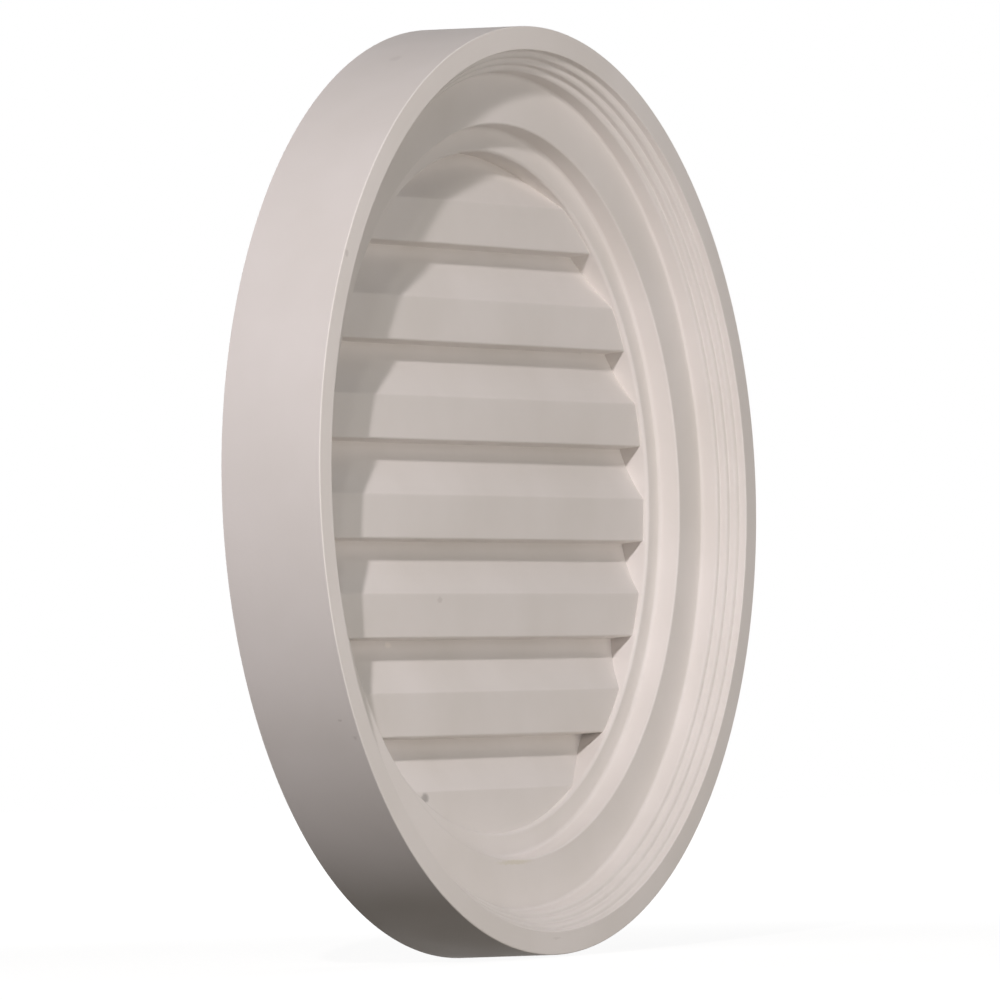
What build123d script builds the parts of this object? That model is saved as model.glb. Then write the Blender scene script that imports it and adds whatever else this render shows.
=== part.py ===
from build123d import *
from math import radians, tan
import os

os.makedirs("parts", exist_ok=True)

# A round, closed gable vent with louvres, moulded in one piece of rigid foam.
# It hangs upright on a gable wall: +Z is up, the front looks along -Y, and the flat back
# lies on the wall in the plane y = 0. The origin is the middle of the back.

# Overall sizes of the moulding
outer_radius = 304.8
depth = 70.0

# Frame, from the rim inwards: widths are radial, drops run back from the front
rim_width = 13.5
step_count = 3
step_width = 4.5
step_drop = 5.1
wall_drop = 11.8
flat_width = 33.8
ledge_width = 16.2
lip_drop = 3.7

# Louvre bank: upright faces, undersides that run back, and hollow slopes between the two
louvre_count = 7
louvre_face_height = 28.95
louvre_depth = 16.0
slope_hollow = 2.0
back_wall = 8.4
bank_rise = 1.05
bank_root = 1.0

# Draft that lets the moulding leave its mould, in degrees
outer_draft = 2.0
wall_draft = 4.0
underside_draft = 4.0

# Small flats that ease the frame's edges and corners, from the outside in
outer_edge_ease = 0.7
rim_edge_ease = 0.5
flat_corner_ease = 1.3
flat_edge_ease = 0.9
ledge_corner_ease = 1.6
opening_edge_ease = 0.4

# Rounding of the steps and the louvres
step_edge_round = 2.2
louvre_edge_round = 0.9
louvre_fold_round = 3.0
groove_round = 1.0

# Levels from the front plane back, and from the wall forward
front_y = -depth
last_step_y = front_y + step_count * step_drop
flat_y = last_step_y + wall_drop
groove_y = -back_wall
louvre_y = groove_y - louvre_depth
ledge_y = louvre_y - lip_drop

# The wall between the flat ring and the ledge takes up the depth that is left
ledge_drop = ledge_y - flat_y
ledge_corner = min(ledge_corner_ease, ledge_drop / 2)

# Narrow or shallow steps take a smaller rounding
step_edge = min(step_edge_round, step_width / 2, step_drop / 2)

# Radii of the frame, each taken from the one outside it
wall_lean = tan(radians(wall_draft))
front_radius = outer_radius - depth * tan(radians(outer_draft))
rim_radius = front_radius - rim_width
last_step_radius = rim_radius - step_count * step_width
flat_outer_radius = last_step_radius - wall_drop * wall_lean
flat_inner_radius = flat_outer_radius - flat_width
ledge_outer_radius = flat_inner_radius - ledge_drop * wall_lean
opening_radius = ledge_outer_radius - ledge_width

# The louvres share out the round bank, which reaches a little way into the frame
bank_radius = opening_radius + bank_root
louvre_pitch = 2 * bank_radius / louvre_count
underside_drop = louvre_depth * tan(radians(underside_draft))
top_edge_z = bank_rise + bank_radius
bank_half_height = top_edge_z + louvre_face_height

# Outline of the louvres from the top down; the first edge lies above the opening
louvre_edges = [(louvre_y, top_edge_z - k * louvre_pitch) for k in range(louvre_count)]
grooves = [(groove_y, z - underside_drop) for _, z in louvre_edges]
folds = [(louvre_y, z - louvre_pitch + louvre_face_height) for _, z in louvre_edges]
bank_foot = (louvre_y, -bank_half_height)

# Outline of the steps from the rim inwards
step_edges = [
    (rim_radius - k * step_width, front_y + k * step_drop) for k in range(step_count + 1)
]
step_corners = [(r - step_drop * wall_lean, y + step_drop) for r, y in step_edges[:-1]]
step_outline = [point for step in zip(step_edges, step_corners) for point in step]


def corners_at(sketch, points):
    """Return the sketch's corner nearest to each point."""
    return [sketch.vertices().sort_by_distance(Vector(*point))[0] for point in points]


with BuildPart() as vent:
    # Louvre bank: its upright section runs right across, and is then cut round
    with BuildSketch(Plane.YZ) as bank_section:
        with BuildLine():
            Polyline(
                bank_foot,
                (0, -bank_half_height),
                (0, bank_half_height),
                (louvre_y, bank_half_height),
                louvre_edges[0],
            )
            for edge, groove, fold, foot in zip(
                louvre_edges, grooves, folds, [*louvre_edges[1:], bank_foot]
            ):
                Line(edge, groove)
                SagittaArc(groove, fold, slope_hollow)
                Line(fold, foot)
        make_face()
        fillet(corners_at(bank_section, louvre_edges), louvre_edge_round)
        fillet(corners_at(bank_section, folds), louvre_fold_round)
        fillet(corners_at(bank_section, grooves), groove_round)
    extrude(amount=bank_radius, both=True)
    Cylinder(bank_radius, 2 * depth, rotation=(90, 0, 0), mode=Mode.INTERSECT)

    # Frame: the moulded section is turned about the axis that runs front to back
    with BuildSketch(Plane.XY) as frame_section:
        with BuildLine():
            Polyline(
                (opening_radius, 0),
                (outer_radius, 0),
                (front_radius, front_y),
                *step_outline,
                (last_step_radius, last_step_y),
                (flat_outer_radius, flat_y),
                (flat_inner_radius, flat_y),
                (ledge_outer_radius, ledge_y),
                (opening_radius, ledge_y),
                close=True,
            )
        make_face()
        fillet(corners_at(frame_section, step_edges[1:]), step_edge)
        chamfer(corners_at(frame_section, [(front_radius, front_y)]), outer_edge_ease)
        chamfer(corners_at(frame_section, step_edges[:1]), rim_edge_ease)
        chamfer(corners_at(frame_section, [(flat_outer_radius, flat_y)]), flat_corner_ease)
        chamfer(corners_at(frame_section, [(flat_inner_radius, flat_y)]), flat_edge_ease)
        chamfer(corners_at(frame_section, [(ledge_outer_radius, ledge_y)]), ledge_corner)
        chamfer(corners_at(frame_section, [(opening_radius, ledge_y)]), opening_edge_ease)
    revolve(axis=Axis.Y)

vent.part.label = "louvred_vent"
export_step(vent.part, "parts/louvred_vent.step")
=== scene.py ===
"""Looks of a round gable vent with closed louvres, moulded in rigid foam and primed off-white.

The frame's moulding and the louvre bank are modelled apart, joined into one closed mesh that
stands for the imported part, primed, and set in a plain white studio. Lengths are in metres,
and a name that ends in _mm holds millimetres.
"""

import logging
import math
from collections.abc import Callable
from dataclasses import dataclass
from enum import Enum
from typing import Any

import bmesh
import bpy
from mathutils import Matrix, Vector


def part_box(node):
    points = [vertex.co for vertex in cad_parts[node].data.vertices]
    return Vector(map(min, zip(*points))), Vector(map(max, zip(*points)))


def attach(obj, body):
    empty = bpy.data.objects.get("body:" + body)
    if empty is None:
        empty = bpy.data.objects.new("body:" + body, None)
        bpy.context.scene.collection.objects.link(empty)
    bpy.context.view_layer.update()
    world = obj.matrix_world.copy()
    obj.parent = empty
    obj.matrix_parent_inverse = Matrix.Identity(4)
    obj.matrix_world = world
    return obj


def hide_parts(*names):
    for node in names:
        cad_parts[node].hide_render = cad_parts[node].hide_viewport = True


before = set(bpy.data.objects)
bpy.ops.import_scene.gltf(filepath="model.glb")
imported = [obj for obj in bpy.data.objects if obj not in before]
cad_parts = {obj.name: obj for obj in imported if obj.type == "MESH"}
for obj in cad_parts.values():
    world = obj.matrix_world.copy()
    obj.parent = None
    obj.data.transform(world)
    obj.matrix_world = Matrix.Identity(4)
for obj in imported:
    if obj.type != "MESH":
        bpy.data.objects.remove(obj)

LOG = logging.getLogger("gable_vent")

NODE = "louvred_vent"
BODY = "root"

MM = 0.001
ROUND_STEPS = 256
ROUND_PROFILE = 0.5
SAME_PLACE = 0.02 * MM
MERGE_GAP = 0.002 * MM
SMOOTH_UNDER = math.radians(32.0)

# Sockets of a colour mix, by number, because their names repeat
MIX_SHARE = 0
MIX_FIRST = 6
MIX_SECOND = 7
MIX_RESULT = 2

Section = list[tuple[float, float]]
EdgeTest = Callable[[bmesh.types.BMEdge], bool]


class Join(Enum):
    """How one solid is worked into another."""

    ADD = "UNION"
    KEEP_COMMON = "INTERSECT"


class MarkKind(Enum):
    """Kinds of small marks on the primer, each with its colour as sRGB hex."""

    SPECK = "#6F6B69"
    SCUFF = "#9A908A"
    PALE = "#FBF5EF"
    STAIN = "#CFC8A8"


def linear(hex_colour: str) -> tuple[float, float, float, float]:
    """Turn an sRGB hex colour into linear RGBA, by the curve of the sRGB standard.

    Args:
        hex_colour: Colour such as "#E7E2DF".

    Returns:
        Red, green, blue and alpha for a shader socket.
    """
    parts = [int(hex_colour[i : i + 2], 16) / 255 for i in (1, 3, 5)]
    red, green, blue = [c / 12.92 if c <= 0.04045 else ((c + 0.055) / 1.055) ** 2.4 for c in parts]
    return red, green, blue, 1.0


def add_node(
    tree: bpy.types.NodeTree,
    kind: str,
    values: dict[str | int, Any] | None = None,
    links: dict[str | int, bpy.types.NodeSocket] | None = None,
    **settings: Any,
) -> bpy.types.Node:
    """Add a node with its settings, its socket values and its links.

    Args:
        tree: Node tree that takes the node.
        kind: Name of the node type.
        values: Constants for input sockets, by name or number.
        links: Output sockets that feed input sockets, by name or number.
        **settings: The node's own properties.

    Returns:
        The new node.
    """
    node = tree.nodes.new(kind)
    for name, value in settings.items():
        setattr(node, name, value)
    for name, value in (values or {}).items():
        node.inputs[name].default_value = value
    for name, source in (links or {}).items():
        tree.links.new(source, node.inputs[name])
    return node


def begin_piece() -> None:
    """Leave edit mode and deselect all, so that an operator acts on the next piece alone."""
    if bpy.context.object is not None and bpy.context.object.mode != "OBJECT":
        bpy.ops.object.mode_set(mode="OBJECT")
    bpy.ops.object.select_all(action="DESELECT")


def take(piece: bpy.types.Object) -> None:
    """Make a piece the only selected and the active object."""
    begin_piece()
    piece.select_set(True)
    bpy.context.view_layer.objects.active = piece


def pick_edges(piece: bpy.types.Object, wanted: EdgeTest) -> int:
    """Select the edges of a piece in edit mode that pass a test, and no others.

    Args:
        piece: Object in edit mode.
        wanted: Test of an edge by its place.

    Returns:
        Number of edges selected.
    """
    bpy.ops.mesh.select_mode(type="EDGE")
    bpy.ops.mesh.select_all(action="DESELECT")
    mesh = bmesh.from_edit_mesh(piece.data)
    chosen = [edge for edge in mesh.edges if wanted(edge)]
    for edge in chosen:
        edge.select_set(True)
    mesh.select_flush_mode()
    bmesh.update_edit_mesh(piece.data)
    return len(chosen)


@dataclass(frozen=True)
class Rounding:
    """Rounding of an edge: the length it takes from each side, and the facets across it."""

    width: float
    facets: int

    def work(self, piece: bpy.types.Object, wanted: EdgeTest) -> None:
        """Round the edges that pass a test.

        Args:
            piece: Object in edit mode.
            wanted: Test of an edge by its place.
        """
        if pick_edges(piece, wanted) == 0:
            raise ValueError(f"{piece.name} has no edge at a place that is to be rounded")
        bpy.ops.mesh.bevel(
            offset=self.width, segments=self.facets, profile=ROUND_PROFILE, affect="EDGES"
        )


def work_into(target: bpy.types.Object, tool: bpy.types.Object, how: Join) -> None:
    """Join a second solid to a piece and remove the second one.

    Args:
        target: Piece that is changed.
        tool: Solid that is worked into it.
        how: What is kept of the two.
    """
    take(target)
    bpy.ops.object.modifier_add(type="BOOLEAN")
    joint = target.modifiers[-1]
    joint.operation = how.value
    joint.solver = "EXACT"
    joint.object = tool
    bpy.ops.object.modifier_apply(modifier=joint.name)
    bpy.data.objects.remove(tool)


def on_ring(radius: float, level: float) -> EdgeTest:
    """Make a test for the edges that run round the vent's axis.

    Args:
        radius: Distance of the ring from the axis.
        level: Place of the ring along the axis, on Y.

    Returns:
        Test that is true for an edge of that ring.
    """

    def test(edge: bmesh.types.BMEdge) -> bool:
        """Say whether both ends of the edge lie on the ring."""
        return all(
            abs(math.hypot(v.co.x, v.co.z) - radius) < SAME_PLACE
            and abs(v.co.y - level) < SAME_PLACE
            for v in edge.verts
        )

    return test


def on_lines(level: float, heights: list[float]) -> EdgeTest:
    """Make a test for the level edges that run from side to side.

    Args:
        level: Place of the lines on Y.
        heights: Places of the lines on Z.

    Returns:
        Test that is true for an edge of one of the lines.
    """

    def test(edge: bmesh.types.BMEdge) -> bool:
        """Say whether the edge runs along one of the lines."""
        start, end = (v.co for v in edge.verts)
        runs_across = abs(start.x - end.x) >= SAME_PLACE
        is_level = abs(start.z - end.z) < SAME_PLACE
        is_at_depth = abs(start.y - level) < SAME_PLACE
        is_at_height = any(abs(start.z - z) < SAME_PLACE for z in heights)
        return runs_across and is_level and is_at_depth and is_at_height

    return test


def open_at(height: float) -> EdgeTest:
    """Make a test for the open edges at one height.

    Args:
        height: Place of the edges on Z.

    Returns:
        Test that is true for an open edge that starts there.
    """

    def test(edge: bmesh.types.BMEdge) -> bool:
        """Say whether the edge is open and starts at the height."""
        return edge.is_boundary and abs(edge.verts[0].co.z - height) < SAME_PLACE

    return test


@dataclass(frozen=True)
class Mark:
    """A small mark on the primer, an ellipsoid of colour round a point of the surface."""

    kind: MarkKind
    place_mm: tuple[float, float, float]
    reach_mm: tuple[float, float, float]
    cover: float


# Marks that the vent carries: a speck under the lowest fold, faint specks and a smear on the
# louvres, scuffs on the outer wall and the rim, and a stain below the flat ring's edge.
MARKS = (
    Mark(MarkKind.SPECK, (-94.2, -24.4, -198.4), (6.6, 3.6, 4.2), 0.50),
    Mark(MarkKind.SCUFF, (-67.5, -24.4, -70.5), (5.0, 3.0, 2.6), 0.22),
    Mark(MarkKind.PALE, (-111.0, -9.8, -99.1), (6.0, 3.0, 3.0), 0.55),
    Mark(MarkKind.SCUFF, (-264.8, -59.3, -146.6), (2.4, 2.4, 1.2), 0.28),
    Mark(MarkKind.SCUFF, (-258.2, -66.1, -157.5), (2.6, 3.0, 2.2), 0.25),
    Mark(MarkKind.SCUFF, (-261.8, -70.0, 146.3), (3.0, 2.0, 3.0), 0.24),
    Mark(MarkKind.SCUFF, (-122.5, -31.7, 277.8), (7.0, 5.0, 5.0), 0.12),
    Mark(MarkKind.SCUFF, (-2.9, -70.0, -292.3), (9.0, 2.0, 1.0), 0.13),
    Mark(MarkKind.STAIN, (-7.8, -42.9, -242.3), (30.0, 3.0, 2.2), 0.32),
)


@dataclass(frozen=True)
class PrimedUrethane:
    """Rigid polyurethane foam, moulded and sprayed with an off-white primer.

    To the eye: a warm off-white, even and matt with a soft sheen at low angles, a faint
    orange-peel from the spray gun, slow unevenness from the mould, and a few small marks.
    """

    colour: str = "#E7E2DF"
    thin_colour: str = "#E2DDD9"
    roughness: tuple[float, float] = (0.60, 0.72)
    specular: float = 0.22
    ior: float = 1.48
    cloud_mm: float = 90.0
    cloud_detail: float = 3.0
    thin_span: tuple[float, float] = (0.35, 0.65)
    gloss_span: tuple[float, float] = (0.3, 0.7)
    peel_mm: float = 2.4
    peel_detail: float = 2.0
    peel_height_mm: float = 0.035
    swell_mm: float = 42.0
    swell_detail: float = 1.0
    swell_height_mm: float = 0.12
    mark_ragged_mm: float = 1.6
    mark_grain_mm: float = 3.0
    mark_detail: float = 2.0
    mark_core: float = 0.35
    marks: tuple[Mark, ...] = MARKS

    def make(self) -> bpy.types.Material:
        """Build the primer's nodes.

        Returns:
            The material.
        """
        material = bpy.data.materials.new("primed_urethane_foam")
        material.use_nodes = True
        tree = material.node_tree
        tree.nodes.clear()
        place = add_node(tree, "ShaderNodeTexCoord").outputs["Object"]
        clouds, peel, swell = (
            add_node(
                tree,
                "ShaderNodeTexNoise",
                {"Scale": 1 / (size_mm * MM), "Detail": detail},
                {"Vector": place},
            ).outputs["Fac"]
            for size_mm, detail in (
                (self.cloud_mm, self.cloud_detail),
                (self.peel_mm, self.peel_detail),
                (self.swell_mm, self.swell_detail),
            )
        )
        thinness = add_node(
            tree,
            "ShaderNodeMapRange",
            {"From Min": self.thin_span[0], "From Max": self.thin_span[1]},
            {"Value": clouds},
        )
        coat = add_node(
            tree,
            "ShaderNodeMix",
            {MIX_FIRST: linear(self.colour), MIX_SECOND: linear(self.thin_colour)},
            {MIX_SHARE: thinness.outputs["Result"]},
            data_type="RGBA",
        ).outputs[MIX_RESULT]
        gloss = add_node(
            tree,
            "ShaderNodeMapRange",
            {
                "From Min": self.gloss_span[0],
                "From Max": self.gloss_span[1],
                "To Min": self.roughness[0],
                "To Max": self.roughness[1],
            },
            {"Value": clouds},
        )
        slow = add_node(
            tree,
            "ShaderNodeBump",
            {"Strength": 1.0, "Distance": self.swell_height_mm * MM},
            {"Height": swell},
        )
        fine = add_node(
            tree,
            "ShaderNodeBump",
            {"Strength": 1.0, "Distance": self.peel_height_mm * MM},
            {"Height": peel, "Normal": slow.outputs["Normal"]},
        )
        shader = add_node(
            tree,
            "ShaderNodeBsdfPrincipled",
            {"IOR": self.ior, "Specular IOR Level": self.specular},
            {
                "Base Color": self._marked(tree, place, coat),
                "Roughness": gloss.outputs["Result"],
                "Normal": fine.outputs["Normal"],
            },
        )
        add_node(tree, "ShaderNodeOutputMaterial", links={"Surface": shader.outputs["BSDF"]})
        return material

    def _marked(
        self, tree: bpy.types.NodeTree, place: bpy.types.NodeSocket, coat: bpy.types.NodeSocket
    ) -> bpy.types.NodeSocket:
        """Lay the marks over the coat's colour.

        Args:
            tree: The material's nodes.
            place: Coordinates in metres.
            coat: Colour of the clean primer.

        Returns:
            Socket with the colour of primer and marks.
        """
        ragged = add_node(
            tree,
            "ShaderNodeTexNoise",
            {"Scale": 1 / (self.mark_grain_mm * MM), "Detail": self.mark_detail},
            {"Vector": place},
        )
        reach = self.mark_ragged_mm * MM
        offset = add_node(
            tree,
            "ShaderNodeVectorMath",
            {1: (2 * reach,) * 3, 2: (-reach,) * 3},
            {0: ragged.outputs["Color"]},
            operation="MULTIPLY_ADD",
        )
        frayed = add_node(
            tree,
            "ShaderNodeVectorMath",
            links={0: place, 1: offset.outputs["Vector"]},
            operation="ADD",
        )
        colour = coat
        for mark in self.marks:
            local = add_node(
                tree,
                "ShaderNodeMapping",
                {
                    "Location": [value * MM for value in mark.place_mm],
                    "Scale": [value * MM for value in mark.reach_mm],
                },
                {"Vector": frayed.outputs["Vector"]},
                vector_type="TEXTURE",
            )
            away = add_node(
                tree,
                "ShaderNodeVectorMath",
                links={0: local.outputs["Vector"]},
                operation="LENGTH",
            )
            cover = add_node(
                tree,
                "ShaderNodeMapRange",
                {"From Min": self.mark_core, "From Max": 1.0, "To Min": mark.cover, "To Max": 0.0},
                {"Value": away.outputs["Value"]},
                interpolation_type="SMOOTHSTEP",
            )
            colour = add_node(
                tree,
                "ShaderNodeMix",
                {MIX_SECOND: linear(mark.kind.value)},
                {MIX_SHARE: cover.outputs["Result"], MIX_FIRST: colour},
                data_type="RGBA",
            ).outputs[MIX_RESULT]
        return colour


@dataclass(frozen=True)
class OpalTable:
    """Opal acrylic sheet of a light table, matt and plain.

    To the eye: pure white that runs into the backdrop, with a light, soft shadow. Light from
    the low lamps passes through it, so that it adds none of its own to the vent.
    """

    glow: float = 1.10
    shadow_share: float = 0.16
    shadow_near: float = 0.35
    shadow_far: float = 1.60
    colour: str = "#F4F3F1"

    def make(self) -> bpy.types.Material:
        """Build the sheet's nodes: white to the eye, clear to the light that lights the vent.

        Returns:
            The material.
        """
        material = bpy.data.materials.new("opal_acrylic")
        material.use_nodes = True
        tree = material.node_tree
        tree.nodes.clear()
        place = add_node(tree, "ShaderNodeTexCoord").outputs["Object"]
        away = add_node(tree, "ShaderNodeVectorMath", links={0: place}, operation="LENGTH")
        share = add_node(
            tree,
            "ShaderNodeMapRange",
            {
                "From Min": self.shadow_near,
                "From Max": self.shadow_far,
                "To Min": self.shadow_share,
                "To Max": 0.0,
            },
            {"Value": away.outputs["Value"]},
            interpolation_type="SMOOTHSTEP",
        )
        matt = add_node(tree, "ShaderNodeBsdfDiffuse", {"Color": linear(self.colour)})
        glow = add_node(tree, "ShaderNodeEmission", {"Strength": self.glow})
        shown = add_node(
            tree,
            "ShaderNodeMixShader",
            links={
                0: share.outputs["Result"],
                1: glow.outputs["Emission"],
                2: matt.outputs["BSDF"],
            },
        )
        clear = add_node(tree, "ShaderNodeBsdfTransparent")
        surface = add_node(
            tree,
            "ShaderNodeMixShader",
            links={0: seen_by_eye(tree), 1: clear.outputs["BSDF"], 2: shown.outputs["Shader"]},
        )
        add_node(tree, "ShaderNodeOutputMaterial", links={"Surface": surface.outputs["Shader"]})
        return material


def seen_by_eye(tree: bpy.types.NodeTree) -> bpy.types.NodeSocket:
    """Add nodes that tell the camera's rays from those that gather light for the vent.

    A camera's ray comes straight, by way of gloss or through glass.

    Args:
        tree: Node tree of a material or a world.

    Returns:
        Socket that is 1 for such a ray and 0 for any other.
    """
    path = add_node(tree, "ShaderNodeLightPath").outputs
    direct = add_node(
        tree,
        "ShaderNodeMath",
        links={0: path["Is Camera Ray"], 1: path["Is Glossy Ray"]},
        operation="MAXIMUM",
    )
    either = add_node(
        tree,
        "ShaderNodeMath",
        links={0: direct.outputs["Value"], 1: path["Is Transmission Ray"]},
        operation="MAXIMUM",
    )
    return either.outputs["Value"]


@dataclass
class FrameMoulding:
    """The round frame: rim, three small steps, tall wall, flat ring, ledge and opening."""

    outer_radius: float
    depth: float
    rim_width: float = 15.4 * MM
    step_count: int = 3
    step_width: float = 4.3 * MM
    step_drop: float = 5.1 * MM
    wall_drop: float = 11.8 * MM
    flat_width: float = 33.5 * MM
    ledge_width: float = 16.2 * MM
    ledge_level: float = -28.1 * MM
    outer_draft: float = math.radians(1.2)
    wall_draft: float = math.radians(4.0)
    dish_floor: float = -5.0 * MM
    outer_edge_round: Rounding = Rounding(0.8 * MM, 4)
    rim_edge_round: Rounding = Rounding(0.7 * MM, 3)
    step_edge_round: Rounding = Rounding(2.1 * MM, 6)
    step_corner_round: Rounding = Rounding(1.0 * MM, 3)
    flat_corner_round: Rounding = Rounding(2.1 * MM, 5)
    flat_edge_round: Rounding = Rounding(1.4 * MM, 4)
    ledge_corner_round: Rounding = Rounding(2.6 * MM, 6)
    opening_edge_round: Rounding = Rounding(2.5 * MM, 6)

    @property
    def front(self) -> float:
        """Place of the front plane on Y."""
        return -self.depth

    @property
    def front_radius(self) -> float:
        """Radius of the drafted outer wall at the front."""
        return self.outer_radius - self.depth * math.tan(self.outer_draft)

    @property
    def lean(self) -> float:
        """Inward lean of the inner walls for each unit of their depth."""
        return math.tan(self.wall_draft)

    @property
    def step_edges(self) -> Section:
        """Radius and level of the rim's inner edge and of each step's edge."""
        rim_radius = self.front_radius - self.rim_width
        return [
            (rim_radius - k * self.step_width, self.front + k * self.step_drop)
            for k in range(self.step_count + 1)
        ]

    @property
    def step_corners(self) -> Section:
        """Radius and level of the corner behind each edge but the last."""
        return [
            (radius - self.step_drop * self.lean, level + self.step_drop)
            for radius, level in self.step_edges[:-1]
        ]

    @property
    def flat_corner(self) -> tuple[float, float]:
        """Radius and level of the corner where the tall wall meets the flat ring."""
        radius, level = self.step_edges[-1]
        return radius - self.wall_drop * self.lean, level + self.wall_drop

    @property
    def flat_edge(self) -> tuple[float, float]:
        """Radius and level of the flat ring's inner edge."""
        radius, level = self.flat_corner
        return radius - self.flat_width, level

    @property
    def ledge_corner(self) -> tuple[float, float]:
        """Radius and level of the corner where the inner wall meets the ledge."""
        radius, level = self.flat_edge
        return radius - (self.ledge_level - level) * self.lean, self.ledge_level

    @property
    def opening_radius(self) -> float:
        """Radius of the opening that the louvres fill."""
        return self.ledge_corner[0] - self.ledge_width

    def section(self) -> Section:
        """List the section's points from the outer edge of the front in to the dish's floor."""
        steps = [
            point
            for edge, corner in zip(self.step_edges, self.step_corners)
            for point in (edge, corner)
        ]
        return [
            (self.front_radius, self.front),
            *steps,
            self.step_edges[-1],
            self.flat_corner,
            self.flat_edge,
            self.ledge_corner,
            (self.opening_radius, self.ledge_level),
            (self.opening_radius, self.dish_floor),
        ]

    def build(self) -> bpy.types.Object:
        """Draw the frame out of one circle, ring by ring, close it and round its edges.

        Returns:
            A closed dish: the frame with a thin floor that the louvre bank covers.
        """
        begin_piece()
        bpy.ops.mesh.primitive_circle_add(
            vertices=ROUND_STEPS,
            radius=self.outer_radius,
            fill_type="NOTHING",
            rotation=(math.pi / 2, 0, 0),
        )
        piece = bpy.context.object
        piece.name = "frame_moulding"
        bpy.ops.object.transform_apply(rotation=True)
        bpy.ops.object.mode_set(mode="EDIT")
        self._draw_rings()
        bpy.ops.mesh.edge_face_add()
        pick_edges(piece, on_ring(self.outer_radius, 0.0))
        bpy.ops.mesh.edge_face_add()
        bpy.ops.mesh.select_all(action="SELECT")
        bpy.ops.mesh.normals_make_consistent(inside=False)
        self._round_edges(piece)
        bpy.ops.object.mode_set(mode="OBJECT")
        return piece

    def _draw_rings(self) -> None:
        """Extrude the selected circle to each point of the section in turn."""
        radius, level = self.outer_radius, 0.0
        for next_radius, next_level in self.section():
            bpy.ops.mesh.extrude_region_move(
                TRANSFORM_OT_translate={"value": (0, next_level - level, 0)}
            )
            scale = next_radius / radius
            if scale != 1.0:
                bpy.ops.transform.resize(value=(scale, 1, scale), center_override=(0, 0, 0))
            radius, level = next_radius, next_level

    def _round_edges(self, piece: bpy.types.Object) -> None:
        """Round each edge and corner of the section.

        Args:
            piece: The frame, in edit mode.
        """
        self.outer_edge_round.work(piece, on_ring(self.front_radius, self.front))
        self.rim_edge_round.work(piece, on_ring(*self.step_edges[0]))
        for edge in self.step_edges[1:]:
            self.step_edge_round.work(piece, on_ring(*edge))
        for corner in self.step_corners:
            self.step_corner_round.work(piece, on_ring(*corner))
        self.flat_corner_round.work(piece, on_ring(*self.flat_corner))
        self.flat_edge_round.work(piece, on_ring(*self.flat_edge))
        self.ledge_corner_round.work(piece, on_ring(*self.ledge_corner))
        self.opening_edge_round.work(piece, on_ring(self.opening_radius, self.ledge_level))


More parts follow.
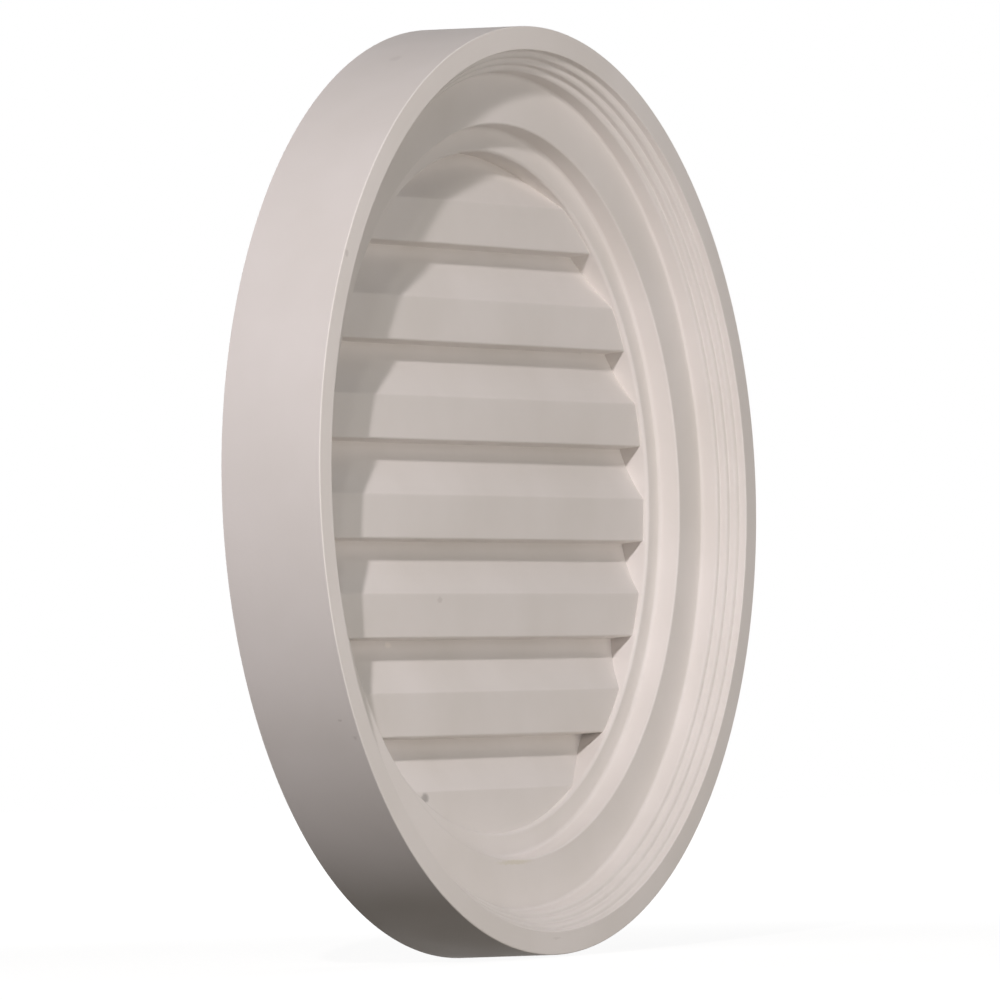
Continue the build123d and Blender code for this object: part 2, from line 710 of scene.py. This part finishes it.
@dataclass
class LouvreBank:
    """The closed louvres: upright faces, undersides that run back, and hollow slopes between."""

    opening_radius: float
    count: int = 7
    face_height: float = 28.95 * MM
    face_level: float = -24.4 * MM
    groove_level: float = -8.4 * MM
    back_level: float = -2.5 * MM
    rise: float = 1.05 * MM
    root: float = 1.0 * MM
    slope_hollow: float = 2.0 * MM
    slope_facets: int = 8
    underside_draft: float = math.radians(4.0)
    edge_round: Rounding = Rounding(1.4 * MM, 4)
    fold_round: Rounding = Rounding(0.9 * MM, 3)
    groove_round: Rounding = Rounding(0.9 * MM, 2)
    blank_depth: float = 195.2 * MM

    @property
    def radius(self) -> float:
        """Radius that the bank is cut to, a little way into the frame."""
        return self.opening_radius + self.root

    @property
    def pitch(self) -> float:
        """Height from one louvre to the next."""
        return 2 * self.radius / self.count

    @property
    def edges(self) -> list[float]:
        """Heights of the louvres' lower edges, from the top down."""
        return [self.rise + self.radius - k * self.pitch for k in range(self.count)]

    @property
    def grooves(self) -> list[float]:
        """Heights of the grooves behind the lower edges."""
        drop = (self.groove_level - self.face_level) * math.tan(self.underside_draft)
        return [z - drop for z in self.edges]

    @property
    def folds(self) -> list[float]:
        """Heights of the folds where a slope meets the face below it."""
        return [z - self.pitch + self.face_height for z in self.edges]

    def slope(self, k: int) -> Section:
        """List the points of a hollow slope, from its groove down to its fold.

        Args:
            k: Number of the louvre whose slope it is, from the top.

        Returns:
            Place on Y and height of each point, on an arc.
        """
        start = Vector((self.groove_level, self.grooves[k]))
        end = Vector((self.face_level, self.folds[k]))
        chord = end - start
        half_turn = 2 * math.atan2(2 * self.slope_hollow, chord.length)
        radius = chord.length / (2 * math.sin(half_turn))
        along, inward = chord.normalized(), Vector((-chord.y, chord.x)).normalized()
        points = []
        for step in range(self.slope_facets + 1):
            turn = half_turn * (2 * step / self.slope_facets - 1)
            run = radius * (math.sin(turn) + math.sin(half_turn))
            sag = radius * (math.cos(turn) - math.cos(half_turn))
            points.append(tuple(start + along * run + inward * sag))
        return points

    def build(self) -> bpy.types.Object:
        """Draw the louvres' section down from one upright face, close it and cut it round.

        Returns:
            A closed round slab with the louvres on its front.
        """
        top = self.edges[0] + self.face_height
        half_width = self.radius + self.root
        begin_piece()
        bpy.ops.mesh.primitive_plane_add(size=2 * half_width, rotation=(math.pi / 2, 0, 0))
        piece = bpy.context.object
        piece.name = "louvre_bank"
        bpy.ops.object.transform_apply(rotation=True)
        bpy.ops.object.mode_set(mode="EDIT")
        bpy.ops.transform.resize(value=(1, 1, self.face_height / (2 * half_width)))
        middle = (0, self.face_level, (top + self.edges[0]) / 2)
        bpy.ops.transform.translate(value=middle)
        pick_edges(piece, on_lines(self.face_level, [self.edges[0]]))
        self._draw_outline(top)
        pick_edges(piece, open_at(top))
        bpy.ops.mesh.edge_face_add()
        bpy.ops.mesh.select_all(action="SELECT")
        bpy.ops.mesh.fill_holes(sides=0)
        bpy.ops.mesh.select_all(action="SELECT")
        bpy.ops.mesh.normals_make_consistent(inside=False)
        self.edge_round.work(piece, on_lines(self.face_level, self.edges))
        self.fold_round.work(piece, on_lines(self.face_level, self.folds))
        self.groove_round.work(piece, on_lines(self.groove_level, self.grooves))
        bpy.ops.object.mode_set(mode="OBJECT")
        work_into(piece, self._round_blank(), Join.KEEP_COMMON)
        return piece

    def _draw_outline(self, top: float) -> None:
        """Extrude the selected lower edge along the louvres and round the back to the top.

        Args:
            top: Height of the bank's top.
        """
        teeth = [
            point
            for k in range(self.count)
            for point in ((self.face_level, self.edges[k]), *self.slope(k))
        ]
        back = [(self.face_level, -top), (self.back_level, -top), (self.back_level, top)]
        outline = [*teeth, *back]
        for (y, z), (next_y, next_z) in zip(outline, outline[1:]):
            bpy.ops.mesh.extrude_region_move(
                TRANSFORM_OT_translate={"value": (0, next_y - y, next_z - z)}
            )

    def _round_blank(self) -> bpy.types.Object:
        """Make the round blank whose outline the bank is cut to."""
        begin_piece()
        bpy.ops.mesh.primitive_cylinder_add(
            vertices=ROUND_STEPS,
            radius=self.radius,
            depth=self.blank_depth,
            rotation=(math.pi / 2, 0, 0),
        )
        blank = bpy.context.object
        bpy.ops.object.transform_apply(rotation=True)
        return blank


@dataclass
class GableVent:
    """The whole vent: frame and louvre bank as one moulding."""

    moulding: FrameMoulding
    bank: LouvreBank
    finish: PrimedUrethane

    def build(self) -> bpy.types.Object:
        """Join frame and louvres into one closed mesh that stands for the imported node.

        Returns:
            The finished piece.
        """
        piece = self.moulding.build()
        work_into(piece, self.bank.build(), Join.ADD)
        piece.name = "primed_vent"
        piece.data.name = "primed_vent"
        take(piece)
        bpy.ops.object.mode_set(mode="EDIT")
        bpy.ops.mesh.select_all(action="SELECT")
        bpy.ops.mesh.remove_doubles(threshold=MERGE_GAP)
        bpy.ops.mesh.normals_make_consistent(inside=False)
        bpy.ops.object.mode_set(mode="OBJECT")
        bpy.ops.object.shade_smooth_by_angle(angle=SMOOTH_UNDER)
        bpy.ops.object.modifier_add(type="WEIGHTED_NORMAL")
        weighted = piece.modifiers[-1]
        weighted.keep_sharp = True
        bpy.ops.object.modifier_apply(modifier=weighted.name)
        self._dress(piece)
        return piece

    def _dress(self, piece: bpy.types.Object) -> None:
        """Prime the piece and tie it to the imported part.

        Args:
            piece: The joined moulding.
        """
        piece.data.materials.clear()
        piece.data.materials.append(self.finish.make())
        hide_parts(NODE)
        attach(piece, BODY)


@dataclass(frozen=True)
class Lamp:
    """A rectangular soft lamp that shines at the vent."""

    name: str
    way: tuple[float, float, float]
    distance: float
    width: float
    height: float
    level: float
    colour: str

    @property
    def power(self) -> float:
        """Watts at which a white surface that faces a small lamp reaches the lamp's level."""
        return self.level * (math.pi * self.distance) ** 2

    def place(self, target: Vector) -> None:
        """Hang the lamp and turn it to the target.

        Args:
            target: Point that it shines at.
        """
        begin_piece()
        way = Vector(self.way).normalized()
        bpy.ops.object.light_add(type="AREA", location=target + way * self.distance)
        lamp = bpy.context.object
        lamp.name = self.name
        lamp.rotation_euler = way.to_track_quat("Z", "Y").to_euler()
        lamp.data.shape = "RECTANGLE"
        lamp.data.size = self.width
        lamp.data.size_y = self.height
        lamp.data.energy = self.power
        lamp.data.color = linear(self.colour)[:3]


# A small plain key far to the left with a weak second lamp beside it, a very large softbox in
# front, a weak fill from high above, a warm bounce from low in front, and a fill for the back and
# the right side that keeps off the front. A lamp's way runs from the vent to the lamp.
LAMPS = (
    Lamp("left_key", (-2.95, -1.0, 1.25), 2.6, 0.035, 0.19, 0.582, "#FFF8F9"),
    Lamp("left_second", (-2.3, -1.0, 1.25), 2.6, 0.035, 0.19, 0.072, "#FFFCF2"),
    Lamp("front_softbox", (-0.2, -0.97, -0.12), 3.0, 3.6, 3.6, 0.524, "#FFFCF8"),
    Lamp("high_fill", (0.0, -0.22, 0.975), 3.0, 1.9, 1.9, 0.118, "#FFFCFC"),
    Lamp("low_bounce", (0.0, -0.8, -0.6), 3.0, 2.4, 2.4, 0.088, "#FFE6CA"),
    Lamp("rear_fill", (0.6, 0.8, 0.0), 3.0, 1.2, 1.2, 0.650, "#FFFBF8"),
)


@dataclass
class ViewPoint:
    """The photograph's point of view, with angles taken from the middle of the vent's front."""

    left_turn: float = math.radians(62.074)
    elevation: float = math.radians(-1.388)
    roll: float = math.radians(-1.398)
    distance: float = 5.808
    lens_mm: float = 320.03
    sensor_mm: float = 36.0
    aim_right: float = -31.48 * MM
    aim_up: float = -6.44 * MM
    farthest: float = 100.0

    def place(self, target: Vector) -> None:
        """Set up the camera.

        Args:
            target: Middle of the vent's front.
        """
        turn, lift = self.left_turn, self.elevation
        back = Vector(
            (-math.sin(turn) * math.cos(lift), -math.cos(turn) * math.cos(lift), math.sin(lift))
        )
        level_right = Vector((math.cos(turn), -math.sin(turn), 0))
        level_up = back.cross(level_right)
        right = math.cos(self.roll) * level_right + math.sin(self.roll) * level_up
        up = back.cross(right)
        spot = target + back * self.distance
        aim = target + right * self.aim_right + up * self.aim_up
        back = (spot - aim).normalized()
        right = (right - back * right.dot(back)).normalized()
        up = back.cross(right)
        begin_piece()
        bpy.ops.object.camera_add(location=spot)
        camera = bpy.context.object
        camera.name = "view_from_left"
        camera.rotation_euler = Matrix((right, up, back)).transposed().to_euler()
        camera.data.sensor_width = self.sensor_mm
        camera.data.lens = self.lens_mm
        camera.data.clip_end = self.farthest
        bpy.context.scene.camera = camera


@dataclass
class Studio:
    """White floor, soft room light, lamps and camera."""

    floor_level: float
    target: Vector
    table: OpalTable
    lamps: tuple[Lamp, ...]
    view_point: ViewPoint
    floor_width: float = 16.0

    def build(self) -> None:
        """Set up the whole studio."""
        bpy.context.scene.view_settings.view_transform = "Standard"
        self._lay_floor()
        self._whiten_room()
        for lamp in self.lamps:
            lamp.place(self.target)
            LOG.info("lamp %s at %.1f W", lamp.name, lamp.power)
        self.view_point.place(self.target)

    def _lay_floor(self) -> None:
        """Lay the opal sheet under the vent."""
        begin_piece()
        bpy.ops.mesh.primitive_plane_add(
            size=self.floor_width, location=(0, 0, self.floor_level)
        )
        floor = bpy.context.object
        floor.name = "opal_table"
        floor.data.materials.append(self.table.make())

    def _whiten_room(self) -> None:
        """Make the room white to the eye and dark to the vent, which only the lamps light."""
        world = bpy.data.worlds.new("white_room")
        bpy.context.scene.world = world
        world.use_nodes = True
        tree = world.node_tree
        tree.nodes.clear()
        white = add_node(
            tree,
            "ShaderNodeBackground",
            {"Color": linear("#FFFFFF")},
            {"Strength": seen_by_eye(tree)},
        )
        add_node(tree, "ShaderNodeOutputWorld", links={"Surface": white.outputs["Background"]})


def open_edges(piece: bpy.types.Object) -> int:
    """Count the edges of a mesh that don't join exactly two faces."""
    mesh = bmesh.new()
    mesh.from_mesh(piece.data)
    count = sum(not edge.is_manifold for edge in mesh.edges)
    mesh.free()
    return count


def main() -> None:
    """Build the vent and its studio in order, and report each piece."""
    logging.basicConfig(level=logging.INFO, format="%(name)s: %(message)s")
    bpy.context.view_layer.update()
    low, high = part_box(NODE)
    moulding = FrameMoulding(outer_radius=(high.x - low.x) / 2, depth=high.y - low.y)
    bank = LouvreBank(moulding.opening_radius)
    vent = GableVent(moulding, bank, PrimedUrethane()).build()
    LOG.info(
        "%s: %d faces, %d open edges", vent.name, len(vent.data.polygons), open_edges(vent)
    )
    Studio(
        floor_level=low.z,
        target=Vector((0, moulding.front, 0)),
        table=OpalTable(),
        lamps=LAMPS,
        view_point=ViewPoint(),
    ).build()


if __name__ == "__main__":
    main()
